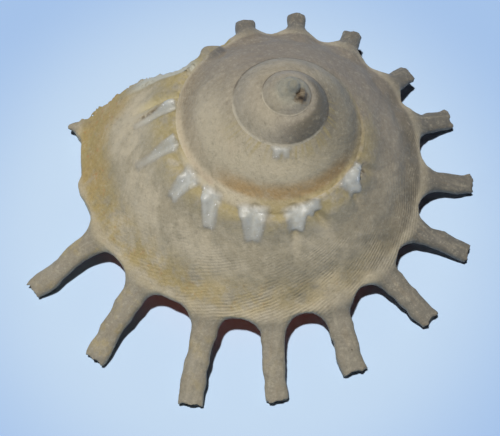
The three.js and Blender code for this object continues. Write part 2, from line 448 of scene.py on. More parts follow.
def place_and_close(mesh, place):
    """The grid with its vertices put in place, and its edges and poles closed."""
    moved = made_by(mesh.tree, "GeometryNodeSetPosition", {"Geometry": mesh, "Position": place})
    inputs = {"Geometry": moved, "Distance": 1e-5}
    return made_by(mesh.tree, "GeometryNodeMergeByDistance", inputs)


def mixed(share, first, second):
    """A vector between first and second."""
    return first + (second - first) * share


def skirt_and_worn_rim(turn, out, down):
    """The section's out and down with the spread edge of the lap before and the worn rim."""
    edge = between(out, 0.93, 1.0)
    skirt = within(turn, SKIRT_FROM, SKIRT_TO, 0.04) * edge
    waver = noise(vector_of(turn, 0.0, 0.0), 30.0, 2.0, 0.5, 5.0)
    skirt = skirt * (waver + 0.5)
    down = down + skirt * SKIRT_DOWN
    limit = 1.0
    for start, end, depth in WORN_RIM:
        worn = within(turn, start, end, 0.005) * depth
        limit = limit - worn
    ragged = noise(vector_of(turn, 0.0, 0.0), 160.0, 3.0, 0.6, 7.0)
    ragged = (ragged - 0.5) * 0.02 * between(turn, -0.06, -0.04)
    limit = limit + sum_of("MINIMUM", ragged, 0.0)
    out = sum_of("MINIMUM", out, limit)
    return out + skirt * SKIRT_OUT, down


def section_row(given, ring, corner, last_ring):
    """The section's row at a corner: a young one on the oldest laps, and one point at each end."""
    rough_share = ring / last_ring
    rough_turn = given["First turn"] + rough_share * (0.1 - given["First turn"])
    age = between(rough_turn, given["Young until"], given["Grown from"])
    row = mixed(age, row_at(given["Young section"], corner), row_at(given["Section"], corner))
    at_first = sum_of("LESS_THAN", ring, 0.5)
    at_last = sum_of("GREATER_THAN", ring, last_ring - 0.5)
    return mixed(at_first + at_last, row, CAP_CENTRE)


def ring_turn(given, ring, last_ring, lip_turn):
    """The turn of a ring: even steps to the slant turn, then slanting more and more to the lip."""
    share = (ring - 1.0) / (last_ring - 2.0)
    share = sum_of("MINIMUM", sum_of("MAXIMUM", share, 0.0), 1.0)
    even_share = 1.0 - given["Slanted share"]
    even = sum_of("MINIMUM", share / even_share, 1.0)
    slanted = sum_of("MAXIMUM", (share - even_share) / given["Slanted share"], 0.0)
    length = given["Slant turn"] - given["First turn"]
    rest = lip_turn - given["Slant turn"]
    return given["First turn"] + length * even + rest * slanted


def whorl_tree(material):
    """Sweeps a section along the coil. Its last stretch ends along the slanting, chipped lip."""
    tree, given = new_tree("whorl sweep", Object=["Young section", "Section"],
                           Int=["Corners", "Rings"],
                           Float=["First turn", "Slant turn", "Slanted share", "Past lip", "Chips",
                                  "Seed", "Rim radius", "Growth", "Young until", "Grown from"])
    around = given["Corners"] + 1.0
    mesh, ring, corner = ring_grid(given["Rings"], around)
    corner = sum_of("FLOORED_MODULO", corner, given["Corners"])
    last_ring = given["Rings"] - 1.0
    out, down, lip_turn = parts_of(section_row(given, ring, corner, last_ring))
    chips = noise(vector_of(out, down, 0.0), 20.0, 5.0, 0.75, given["Seed"])
    chips = (chips - 0.5) * given["Chips"]
    lip_turn = lip_turn + given["Past lip"] + chips
    turn = ring_turn(given, ring, last_ring, lip_turn)
    out, down = skirt_and_worn_rim(turn, out, down)
    size = given["Growth"] ** turn * given["Rim radius"]
    angle = LIP_ANGLE - turn * (2 * math.pi)
    x = out * sum_of("COSINE", angle)
    y = out * sum_of("SINE", angle)
    z = down * -1.0
    upright = vector_of(x, y, z) * size
    place = turned(upright, LEAN_AXIS, LEAN) + APEX
    return finish_tree(tree, place_and_close(mesh, place), material)


def bar_middle(given, share, place_along, side):
    """The middle of a digit's or stub's bar at that share of its length, bent a little."""
    on_bar = mixed(sum_of("MAXIMUM", share, 0.0), given["Root"], given["Tip"])
    inwards = given["Inner"] - given["Root"]
    inside = sum_of("MINIMUM", share, 0.0) * -1.0
    bend = noise(vector_of(place_along, 0.0, 0.0), 0.11, 2.0, 0.5, given["Seed"])
    bend = (bend - 0.5) * given["Bend"] * between(share, 0.0, 0.3)
    return on_bar + inwards * inside + side * bend


def finger_tree(material):
    """A digit or stub: an oval bar from an inner point over its root to its tip, which is
    hollow and ragged."""
    tree, given = new_tree("finger", Object=["Outline"], Int=["Rings", "Sides"],
                           Vector=["Inner", "Root", "Tip"],
                           Float=["Width", "Depth", "Rag", "Unevenness", "Flatness", "Bend",
                                  "Seed"])
    around = given["Sides"] + 1.0
    mesh, ring, corner = ring_grid(given["Rings"], around)
    last_row = given["Rings"] - 1.0
    row = row_at(given["Outline"], sum_of("MINIMUM", ring, last_row))
    share, wide, deep = parts_of(row)
    corner = sum_of("FLOORED_MODULO", corner, given["Sides"])
    angle = corner / given["Sides"] * (2 * math.pi)
    across = sum_of("COSINE", angle)
    over = sum_of("SINE", angle)
    flatter = sum_of("ABSOLUTE", over) ** given["Flatness"]
    over = sum_of("SIGN", over) * flatter
    way = given["Tip"] - given["Root"]
    length = sum_of("LENGTH", way)
    along = sum_of("NORMALIZE", way)
    side = sum_of("NORMALIZE", sum_of("CROSS_PRODUCT", along, (0.0, 0.0, 1.0)))
    square = sum_of("CROSS_PRODUCT", side, along)
    at_tip = between(share, 0.7, 1.0)
    chip = noise(vector_of(across, over, 0.0), 1.3, 2.0, 0.6, given["Seed"])
    chip = (chip - 0.5) * given["Rag"]
    slip = chip * at_tip / length
    share = share + slip
    place_along = share * length
    wave = noise(vector_of(across, over, place_along), 0.3, 3.0, 0.55, given["Seed"] + 31.0)
    swell = 1.0 + (wave - 0.5) * given["Unevenness"]
    half_wide = wide * given["Width"] * 0.5
    half_deep = deep * given["Depth"] * 0.5
    to_side = side * (across * half_wide * swell)
    upwards = square * (over * half_deep * swell)
    place = bar_middle(given, share, place_along, side) + (to_side + upwards)
    return finish_tree(tree, place_and_close(mesh, place), material)


def named_attribute(tree, name):
    return made_by(tree, "GeometryNodeInputNamedAttribute", {"Name": name}, "Attribute",
                   data_type="FLOAT")


def ridge_along(lines, width):
    """One on the edges of an object, and down to nothing at this distance from them."""
    distance = made_by(lines.tree, "GeometryNodeProximity", {"Geometry": geometry_of(lines)},
                       "Distance", target_element="EDGES")
    return between(distance, 0.0, width, 1.0, 0.0)


def growth_lines(turn, out):
    """A number that is the same all along one growth line, which slants as the lip does."""
    return turn - (1.0 - out) * GROWTH_LINE_SLANT


def by_the_lip(turn):
    """One on the last stretch of the body whorl."""
    return between(turn, -0.06, 0.0) * between(turn, 0.15, 0.125)


def pit_distance(place, middle):
    """How far a place is from the middle of the pit, unevenly, as the pit is ragged."""
    near = sum_of("DISTANCE", place, middle)
    ragged = noise(place, 0.9, 3.0, 0.6, 2.0) - 0.5
    return near + ragged * 2.2


def stub_relief(given, turn, out, near_lip):
    """The ridges out from the stubs, and the hollows between the stubs."""
    body = between(turn, -1.0, -0.94)
    stub_near = ridge_along(given["Stub lines"], given["Stub ridge width"])
    ridge = (stub_near * between(out, 0.88, 0.64) * body
             * between(turn, -0.4, -0.24, 0.2, 1.0) * given["Stub ridge"])
    between_stubs = 1.0 - stub_near
    on_skirt = between(out, 0.575, 0.545) * within(turn, SKIRT_FROM + 1, SKIRT_TO + 1, 0.03)
    hollow = (between_stubs * between(out, 0.7, 0.58) * (1.0 - on_skirt)
              * between(turn, -0.6, -0.3) * between(near_lip, 0.5, 0.05) * given["Seam hollow"]
              * -1.0)
    return ridge, hollow


def small_relief(given, place, reach, size):
    """Rumples and grain all over, and the lumps and the pit at the apex."""
    rumple = noise(place, 0.16, 3.0, 0.55, given["Seed"] + 9.0)
    rumple = (rumple - 0.5) * given["Rumple"] * size * 2.0
    grain = noise(place, 0.7, 2.0, 0.5, given["Seed"] + 17.0)
    grain = (grain - 0.5) * given["Rumple"] * 0.35
    pit_far = pit_distance(place, given["Pit place"])
    pit = between(pit_far, given["Pit width"], 0.2) * given["Pit depth"] * -1.0
    lumps = noise(place, 0.42, 3.0, 0.6, given["Seed"] + 5.0)
    lumps = (lumps - 0.5) * between(reach, 5.0, 2.5) * given["Apex lumps"] * 2.0
    return rumple, grain, pit, lumps


def relief_tree(material):
    """Lifts and sinks the surface: ridges in from the digits and out from the stubs, hollows
    between the stubs, folds along the growth lines, rumples and the pit beside the nipple."""
    tree, given = new_tree("surface relief", Geometry=["Shell"],
                           Object=["Digit lines", "Stub lines"], Vector=["Pit place"],
                           Float=["Digit ridge", "Digit ridge width", "Stub ridge",
                                  "Stub ridge width", "Seam hollow", "Growth fold", "Rumple",
                                  "Lip hollow", "Apex lumps", "Pit width", "Pit depth", "Seed"])
    place = made_by(tree, "GeometryNodeInputPosition")
    normal = made_by(tree, "GeometryNodeInputNormal")
    turn, out, reach, _ = coil_place(place)
    on_whorl = 1.0 - named_attribute(tree, "digit")
    outside = 1.0 - named_attribute(tree, "inside")
    near_lip = named_attribute(tree, "lip")
    digit_ridge = (ridge_along(given["Digit lines"], given["Digit ridge width"])
                   * between(out, 0.74, 0.95) * given["Digit ridge"])
    stub_ridge, hollow = stub_relief(given, turn, out, near_lip)
    lines = growth_lines(turn, out)
    along = vector_of(lines * 26.0, out * 3.0, 0.0)
    folds = noise(along, 1.0, 3.0, 0.55, given["Seed"]) - 0.5
    size = between(reach, 4.0, 40.0, 0.25, 1.0)
    folds = folds * given["Growth fold"] * size * 2.0
    rumple, grain, pit, lumps = small_relief(given, place, reach, size)
    behind_lip = (near_lip * (1.0 - near_lip) * 4.0 * between(out, 0.84, 0.66) * by_the_lip(turn)
                  * given["Lip hollow"] * -1.0)
    height = digit_ridge + stub_ridge + hollow + folds + behind_lip
    height = height * on_whorl + rumple + grain + pit + lumps
    height = height * outside
    inputs = {"Geometry": given["Shell"], "Offset": normal * height}
    raised = made_by(tree, "GeometryNodeSetPosition", inputs)
    return finish_tree(tree, raised, material)


# Growing the pieces.


def triangles_of(mesh):
    """A mesh's points and triangles as arrays."""
    mesh.calc_loop_triangles()
    points = np.empty(len(mesh.vertices) * 3, np.float32)
    corners = np.empty(len(mesh.loop_triangles) * 3, np.int32)
    mesh.vertices.foreach_get("co", points)
    mesh.loop_triangles.foreach_get("vertices", corners)
    return points.reshape(-1, 3), corners.reshape(-1, 3)


def put_together(meshes):
    """Several meshes as one list of points and one of triangles."""
    points, triangles, offset = [], [], 0
    for mesh in meshes:
        some_points, some_triangles = triangles_of(mesh)
        points.append(some_points)
        triangles.append(some_triangles + offset)
        offset += len(some_points)
    return np.concatenate(points), np.concatenate(triangles)


def grow_whorls(tree, young, section, first_turn, past_lip, chips):
    young_table = rows_object("young section", smooth_loop(young, SECTION_SMOOTHING))
    table = rows_object("section", smooth_loop(section, SECTION_SMOOTHING))
    even = (SLANT_TURN - first_turn) * STEPS_PER_TURN
    slanted = 0.3 * STEPS_PER_TURN
    mesh = grow(tree, {
        "Young section": young_table, "Section": table,
        "Corners": len(table.data.vertices), "Rings": int(even + slanted) + 3,
        "First turn": first_turn, "Slant turn": SLANT_TURN,
        "Slanted share": slanted / (even + slanted), "Past lip": past_lip, "Chips": chips,
        "Seed": 4.0, "Rim radius": RIM_RADIUS, "Growth": GROWTH,
        "Young until": YOUNG_UNTIL, "Grown from": GROWN_FROM,
    })
    bpy.data.objects.remove(young_table)
    bpy.data.objects.remove(table)
    return mesh


def grow_digit(tree, table, turn, length, sweep, width, tip_height, number):
    root = coil_point(turn, *DIGIT_ROOT)
    outward = root - coil_point(turn, 0.0, DIGIT_ROOT[1])
    outward.z = 0.0
    heading = Quaternion((0, 0, 1), math.radians(-sweep)) @ outward.normalized()
    tip = root + heading * length
    tip.z = tip_height + TIP_LIFT
    return grow(tree, {
        "Outline": table, "Rings": len(table.data.vertices), "Sides": DIGIT_SIDES,
        "Inner": coil_point(turn, *DIGIT_INNER), "Root": root, "Tip": tip, "Width": width,
        "Depth": min(DIGIT_DEPTH, length * 0.65), "Rag": min(DIGIT_RAG, length * 0.3),
        "Unevenness": 0.75, "Flatness": 0.72, "Bend": DIGIT_BEND, "Seed": 3.7 * number,
    })


def grow_stub(tree, table, turn, outer_turn, outer_end, width, number):
    root = coil_point(turn, STUB_ROOT_OUT, top_of_whorl(STUB_ROOT_OUT) + 0.002)
    tip = coil_point(outer_turn, outer_end, top_of_whorl(outer_end) + 0.008)
    return grow(tree, {
        "Outline": table, "Rings": len(table.data.vertices), "Sides": STUB_SIDES,
        "Inner": coil_point(turn, *STUB_INNER), "Root": root, "Tip": tip, "Width": width,
        "Depth": min(STUB_DEPTH, 0.5 * width), "Rag": STUB_RAG,
        "Unevenness": 0.5, "Flatness": 0.8, "Bend": STUB_BEND, "Seed": 50 + 2.9 * number,
    })


def grow_nipple():
    """The worn first laps, turned around the axis."""
    sides = 32
    mesh = bpy.data.meshes.new("nipple")
    bm = bmesh.new()
    rings = []
    for radius, height in NIPPLE:
        ring = []
        for corner in range(sides if radius else 1):
            angle = 2 * math.pi * corner / sides
            place = Vector((radius * math.cos(angle), radius * math.sin(angle), height))
            ring.append(bm.verts.new(LEAN_TURN @ place + APEX))
        rings.append(ring)
    for upper, lower in zip(rings, rings[1:]):
        for corner in range(sides):
            after = (corner + 1) % sides
            face = [lower[corner % len(lower)], lower[after % len(lower)],
                    upper[after % len(upper)], upper[corner % len(upper)]]
            bm.faces.new(list(dict.fromkeys(face)))
    bmesh.ops.recalc_face_normals(bm, faces=bm.faces[:])
    bm.to_mesh(mesh)
    bm.free()
    return mesh


def lines_object(name, lines):
    """An object made of edges along these rows of points."""
    points, edges = [], []
    for line in lines:
        edges += [(len(points) + n, len(points) + n + 1) for n in range(len(line) - 1)]
        points += line
    return rows_object(name, points, edges)


def digit_lines():
    outs = (0.74, 0.80, 0.86, 0.92, 0.98)
    return lines_object("digit lines", [
        [coil_point(turn, out, top_of_whorl(out)) for out in outs] for turn, *_ in DIGITS[1:]])


def stub_lines():
    """Each stub's line and its run beyond the stub, bending back as it goes out."""
    lines = []
    for turn, outer_turn, outer_end, _ in STUBS:
        slant = max((outer_turn - turn) / (outer_end - 0.525), -0.14)
        outs = [0.51, 0.56, 0.62, 0.68, 0.74, 0.80, 0.86]
        lines.append([coil_point(turn + slant * (out - 0.525), out, top_of_whorl(out))
                      for out in outs])
    lines.append([coil_point(turn, out, top_of_whorl(out)) for turn, out in LIP_CREST])
    return lines_object("stub lines", lines)


def lift_relief(piece, material):
    digits, stubs = digit_lines(), stub_lines()
    raised = grow(relief_tree(material), {
        "Digit lines": digits, "Stub lines": stubs, "Digit ridge": DIGIT_RIDGE,
        "Digit ridge width": DIGIT_RIDGE_WIDTH, "Stub ridge": STUB_RIDGE,
        "Stub ridge width": STUB_RIDGE_WIDTH, "Seam hollow": SEAM_HOLLOW,
        "Growth fold": GROWTH_FOLD, "Rumple": RUMPLE, "Lip hollow": LIP_HOLLOW,
        "Apex lumps": APEX_LUMPS, "Pit place": APEX_PIT, "Pit width": APEX_PIT_WIDTH,
        "Pit depth": APEX_PIT_DEPTH, "Seed": 6.0,
    }, piece.data)
    bpy.data.objects.remove(digits)
    bpy.data.objects.remove(stubs)
    piece.data = raised


# Volumes: each piece as distances on one block of cells.


class Block:
    """A block of cells around the whole shell."""

    def __init__(self, low, high):
        self.low = np.floor(np.array(low) / CELL).astype(int) - 4
        self.shape = tuple(np.ceil(np.array(high) / CELL).astype(int) + 4 - self.low)

    def distances(self, points, triangles):
        """Distance to the surface of closed solids, negative inside."""
        grid = openvdb.FloatGrid.createLevelSetFromPolygons(
            np.ascontiguousarray(points, np.float32), triangles=triangles.astype(np.uint32),
            quads=np.empty((0, 4), np.uint32),
            transform=openvdb.createLinearTransform(CELL), halfWidth=BAND_CELLS)
        cells = np.empty(self.shape, np.float32)
        grid.copyToArray(cells, ijk=tuple(int(n) for n in self.low))
        return cells

    def surface(self, cells):
        """Points and quads where the distance is zero."""
        grid = openvdb.FloatGrid(BAND_CELLS * CELL)
        grid.transform = openvdb.createLinearTransform(CELL)
        grid.copyFromArray(cells, ijk=tuple(int(n) for n in self.low))
        return grid.convertToQuads(isovalue=0.0)

    def at(self, cells, points):
        """The distances read at these points, between the cells' middles."""
        place = points / CELL - self.low
        base = np.clip(np.floor(place).astype(int), 0, np.array(self.shape) - 2)
        part = np.clip(place - base, 0, 1)
        total = np.zeros(len(points))
        for dx in (0, 1):
            for dy in (0, 1):
                for dz in (0, 1):
                    weight = np.prod(np.where((dx, dy, dz), part, 1 - part), axis=1)
                    total += weight * cells[base[:, 0] + dx, base[:, 1] + dy, base[:, 2] + dz]
        return total


def joined(first, second, fillet):
    """The union of two volumes, with a fillet where they meet."""
    overlap = np.clip(fillet - np.abs(first - second), 0, None) / fillet
    return np.minimum(first, second) - overlap * overlap * fillet / 4


def carved(solid, hollow, edge):
    """A volume with another taken out of it, and its new edges a little worn."""
    return -joined(-solid, hollow, edge)


def grow_fingers(tree, outline, grow_one, rows):
    """The digits or stubs of these numbered rows, all with the same outline."""
    table = rows_object("outline", outline)
    grown = [grow_one(tree, table, *row, number) for number, row in rows]
    bpy.data.objects.remove(table)
    return put_together(grown)


def shell_volume(material):
    """The whole shell as one volume, and those of its digits, stubs and hollow."""
    sweep = whorl_tree(material)
    finger = finger_tree(material)
    inner = [(out, down, lip[2]) for (out, down), lip in zip(INNER_SECTION, OUTER_SECTION)]
    young = YOUNG_TOP + OUTER_SECTION[len(YOUNG_TOP):]
    whorls = put_together([grow_whorls(sweep, young, OUTER_SECTION, FIRST_TURN, 0.0, LIP_CHIPS)])
    hollow = put_together([
        grow_whorls(sweep, inner, inner, HOLLOW_FIRST_TURN, HOLLOW_PAST_LIP, 0.0)])
    numbered = list(enumerate(DIGITS))
    whole_rows = [pair for pair in numbered if pair[0] not in BROKEN_OFF]
    broken_rows = [pair for pair in numbered if pair[0] in BROKEN_OFF]
    digits = grow_fingers(finger, DIGIT_OUTLINE, grow_digit, whole_rows)
    broken = grow_fingers(finger, BROKEN_OUTLINE, grow_digit, broken_rows)
    stubs = grow_fingers(finger, STUB_OUTLINE, grow_stub, enumerate(STUBS))
    nipple = put_together([grow_nipple()])
    everything = np.concatenate([whorls[0], digits[0]])
    block = Block(everything.min(0), everything.max(0))
    digit_cells, broken_cells = block.distances(*digits), block.distances(*broken)
    stub_cells, hollow_cells = block.distances(*stubs), block.distances(*hollow)
    cells = joined(block.distances(*whorls), block.distances(*nipple), NIPPLE_FILLET)
    cells = joined(cells, digit_cells, DIGIT_FILLET)
    cells = joined(cells, broken_cells, BROKEN_FILLET)
    cells = joined(cells, stub_cells, STUB_FILLET)
    cells = carved(cells, hollow_cells, MOUTH_EDGE)
    heights = (np.arange(block.shape[2]) + block.low[2]) * CELL
    cells = np.maximum(cells, -heights[None, None, :].astype(np.float32))
    return block, cells, np.minimum(digit_cells, broken_cells), stub_cells, hollow_cells


def largest_piece(points, quads):
    """The largest connected piece of a mesh of quads."""
    label = np.arange(len(points))
    edges = np.concatenate([quads[:, [0, 1]], quads[:, [1, 2]], quads[:, [2, 3]]])
    while True:
        lowest = label.copy()
        np.minimum.at(lowest, edges[:, 0], label[edges[:, 1]])
        np.minimum.at(lowest, edges[:, 1], label[edges[:, 0]])
        lowest = lowest[lowest]
        lowest = lowest[lowest]
        if np.array_equal(lowest, label):
            break
        label = lowest
    kept = label == np.bincount(label).argmax()
    number = np.cumsum(kept) - 1
    return points[kept], number[quads[kept[quads[:, 0]]]]


def mesh_from(name, points, faces):
    mesh = bpy.data.meshes.new(name)
    mesh.vertices.add(len(points))
    mesh.vertices.foreach_set("co", np.ascontiguousarray(points, np.float32).ravel())
    mesh.loops.add(faces.size)
    mesh.loops.foreach_set("vertex_index", faces.astype(np.int32).ravel())
    mesh.polygons.add(len(faces))
    mesh.polygons.foreach_set("loop_start", np.arange(len(faces), dtype=np.int32) * faces.shape[1])
    mesh.update(calc_edges=True)
    return mesh


def write_attribute(mesh, name, values):
    attribute = mesh.attributes.new(name, "FLOAT", "POINT")
    attribute.data.foreach_set("value", np.asarray(values, np.float32))


def eased(values, low, high):
    share = np.clip((values - low) / (high - low), 0, 1)
    return share * share * (3 - 2 * share)


def near_seam(points):
    """Which points lie along a seam between two laps."""
    lean_back = np.array(LEAN_TURN.inverted().to_matrix())
    upright = (points - np.array(APEX)) @ lean_back.T
    lap_share = (LIP_ANGLE - np.arctan2(upright[:, 1], upright[:, 0])) / (2 * math.pi)
    reach = np.maximum(np.hypot(upright[:, 0], upright[:, 1]), 1e-3)
    growths = np.log(reach / (RIM_RADIUS * GROWTH ** lap_share)) / math.log(GROWTH)
    out = GROWTH ** (growths - np.floor(growths) - 1)
    on_spire = growths + lap_share < -0.82
    return on_spire & ((out > 0.965) | (out < 0.53))


def far_from_lip(points):
    """How far points are from the upper edge of the lip."""
    upper = smooth_loop(OUTER_SECTION, SECTION_SMOOTHING)[SECTION_SMOOTHING:11 * SECTION_SMOOTHING]
    nearest = np.full(len(points), 1e9)
    for out, down, lip_turn in upper:
        nearest = np.minimum(nearest, np.linalg.norm(points - coil_point(lip_turn, out, down), axis=1))
    return nearest


def make_shell(material):
    block, cells, digit_cells, stub_cells, hollow_cells = shell_volume(material)
    points, quads = block.surface(cells)
    points, quads = largest_piece(np.asarray(points), np.asarray(quads).astype(int))
    mesh = mesh_from("shell looks", points, quads[:, ::-1])
    piece = in_scene("shell_looks", mesh)
    inside = eased(block.at(hollow_cells, points), 2.5 * CELL, 0.8 * CELL)
    write_attribute(mesh, "inside", inside)
    write_attribute(mesh, "digit", eased(block.at(digit_cells, points), 1.4, 0.1))
    write_attribute(mesh, "lip", eased(far_from_lip(points), LIP_WIDTH, 0.3))
    write_attribute(mesh, "stub", eased(block.at(stub_cells, points), 0.40, -0.05))
    normals = np.empty(len(points) * 3, np.float32)
    mesh.vertices.foreach_get("normal", normals)
    below = normals.reshape(-1, 3)[:, 2] < -0.25
    write_attribute(mesh, "hidden", (inside > 0.5) | below)
    seams = piece.vertex_groups.new(name="seams")
    chosen = near_seam(points) & (inside < 0.1) & (normals.reshape(-1, 3)[:, 2] > 0)
    seams.add(np.flatnonzero(chosen).tolist(), 1.0, "REPLACE")
    return piece


def read_attribute(mesh, name):
    values = np.empty(len(mesh.vertices), np.float32)
    mesh.attributes[name].data.foreach_get("value", values)
    return values


def apply_modifiers(piece):
    graph = bpy.context.evaluated_depsgraph_get()
    mesh = bpy.data.meshes.new_from_object(piece.evaluated_get(graph))
    piece.modifiers.clear()
    piece.data = mesh


def smooth_out(piece):
    """Smooths away the grain that the cells leave, and fills the seams a little."""
    even = piece.modifiers.new("even out", "SMOOTH")
    even.factor = 0.5
    even.iterations = 2
    worn = piece.modifiers.new("wear the seams", "SMOOTH")
    worn.factor = 0.5
    worn.iterations = SEAM_WEAR
    worn.vertex_group = "seams"
    apply_modifiers(piece)
    piece.vertex_groups.clear()


def thin_out(piece):
    """Thins the faces of the underside and the inside, which need fewer."""
    total = 2 * len(piece.data.polygons)
    if total > MOST_TRIANGLES:
        hidden = piece.vertex_groups.new(name="hidden")
        chosen = np.flatnonzero(read_attribute(piece.data, "hidden") > 0.5)
        hidden.add(chosen.tolist(), 1.0, "REPLACE")
        thin = piece.modifiers.new("thin", "DECIMATE")
        thin.ratio = MOST_TRIANGLES / total
        thin.vertex_group = "hidden"
        apply_modifiers(piece)
        piece.vertex_groups.clear()
    piece.data.attributes.remove(piece.data.attributes["hidden"])


# The finish.

CREAM = srgb(194, 185, 162)
GREY_CREAM = srgb(166, 158, 136)
# Pink-grey: partly the older shell's own colour, partly painted shade on the right side and the back.
PINK_GREY = srgb(136, 126, 115)
OCHRE = srgb(172, 154, 100)
ORANGE = srgb(178, 148, 92)
RUST = srgb(184, 138, 88)
BAND_BROWN = srgb(184, 152, 100)
# Painted light for the front of the older laps.
FRONT_PAINTED_LIGHT = srgb(216, 206, 172)
PALE_FLANGE = srgb(204, 194, 168)
FLANGE_YELLOW = srgb(180, 165, 122)
YELLOW_HOLLOW = srgb(170, 156, 108)
STUB_WHITE = srgb(204, 208, 205)
# Painted glints on the stubs.
PAINTED_GLINT = srgb(248, 250, 252)
LIP_WHITE = srgb(196, 196, 182)
DIGIT_GREY = srgb(137, 133, 122)
DIGIT_DARK_AND_SHADE = srgb(80, 82, 84)
APEX_GREY = srgb(158, 158, 144)
# Brown: used for streaks on the digits, and as painted shade on the flank of the lap before.
FLANK_BROWN_AND_SHADE = srgb(146, 130, 106)
SPIRE_GREY = srgb(168, 160, 146)
# Dark grey: used for dark mottling, and as painted shade on the right-hand sides of the laps and the
# rim.
SPIRE_DARK_AND_PAINTED_SHADE = srgb(105, 99, 84)
# Painted shade and painted light for the suture; the pale colour is also used for light mottling.
SEAM_PAINTED_SHADE = srgb(104, 94, 78)
SEAM_PALE_AND_PAINTED_LIGHT = srgb(206, 198, 176)
PIT_BROWN = srgb(52, 30, 14)
STAIN = srgb(108, 86, 56)
HOLLOW_OLIVE_PAINTED_SHADE = srgb(144, 134, 98)
CREST_PAINTED_HIGHLIGHT = srgb(206, 194, 142)
# Brown: used for real dots and pits, and as painted shade in grooves, under the crest and round the
# stubs.
BROWN_DOTS_AND_PAINTED_SHADE = srgb(98, 80, 54)
UNDERSIDE_BROWN_AND_SHADE = srgb(118, 68, 46)
INSIDE = srgb(150, 92, 58)
RIBLETS_ROUND = 146
RIBLETS_OUT = 58.0


def attribute_value(tree, name):
    return made_by(tree, "ShaderNodeAttribute", (), "Fac", attribute_name=name)


def blended(share, first, second):
    """A colour between first and second."""
    inputs = {0: share, 6: first, 7: second}
    return made_by(share.tree, "ShaderNodeMix", inputs, 2, data_type="RGBA")


def riblet_wave(reach, angle, place):
    """Fine riblets that run around the coil and slowly inwards, from -1 to 1."""
    waver = noise(place, 0.22, 2.0) * 1.1
    spiral = sum_of("LOGARITHM", reach, math.e) * RIBLETS_OUT
    lap = angle * (RIBLETS_ROUND / (2 * math.pi))
    phase = spiral + lap + waver
    return sum_of("SINE", phase * (2 * math.pi))


def body_colour(place, turn, out):
    """Cream and grey clouds, pink-grey over the right and back that is partly painted shade, painted
    shade along the right of the rim, ochre along the rim by the lip, and yellow hollows at the seam.
    """
    clouds = noise(place, 0.07, 4.0, 0.55, 3.0)
    patches = noise(place, 0.3, 4.0, 0.6, 5.0)
    lines = growth_lines(turn, out)
    streak_place = vector_of(lines * 60.0, out * 4.0, 0.0)
    streaks = noise(streak_place, 1.0, 5.0, 0.65, 8.0)
    mottle = clouds * 0.5 + patches * 0.25 + streaks * 0.25
    colour = blended(between(mottle, 0.43, 0.57), GREY_CREAM, CREAM)
    # Pink-grey over the right side and the back: partly the older shell's own colour, partly painted
    # shade on the side turned away from the light.
    older = between(turn, -0.22, -0.58) * between(turn, -0.95, -0.78, 0.4, 0.8)
    colour = blended(older, colour, PINK_GREY)
    # Painted shade: the rim on the right is darkened where the surface slopes away from the light.
    right_rim_painted_shade = between(out, 0.78, 0.92) * within(turn, -0.56, -0.36, 0.08)
    colour = blended(right_rim_painted_shade * 0.6, colour, SPIRE_DARK_AND_PAINTED_SHADE)
    left_rim = (between(out, 0.78, 0.92) * between(turn, -0.44, -0.08)
                * between(patches, 0.34, 0.58))
    colour = blended(left_rim * 0.85, colour, OCHRE)
    widened = out + between(turn, 0.03, 0.07, 0.0, 0.09)
    lip = between(widened, 0.8, 0.9) * between(turn, -0.06, 0.01)
    colour = blended(lip * between(patches, 0.25, 0.5) * 0.85, colour, OCHRE)
    orange = lip * between(streaks, 0.42, 0.62)
    colour = blended(orange * 0.35, colour, ORANGE)
    specks = noise(place, 0.8, 3.0, 0.6, 14.0)
    stained = sum_of("MAXIMUM", lip, left_rim * 0.6)
    rust = stained * between(specks, 0.58, 0.68)
    colour = blended(rust * 0.7, colour, RUST)
    rim = between(out, 0.955, 0.99) * between(turn, -1.0, -0.9)
    colour = blended(rim * 0.6, colour, CREAM)
    seam = between(out, 0.68, 0.56) * between(turn, -0.62, -0.3) * between(patches, 0.36, 0.56)
    colour = blended(seam * 0.85, colour, YELLOW_HOLLOW)
    return colour, patches, streaks


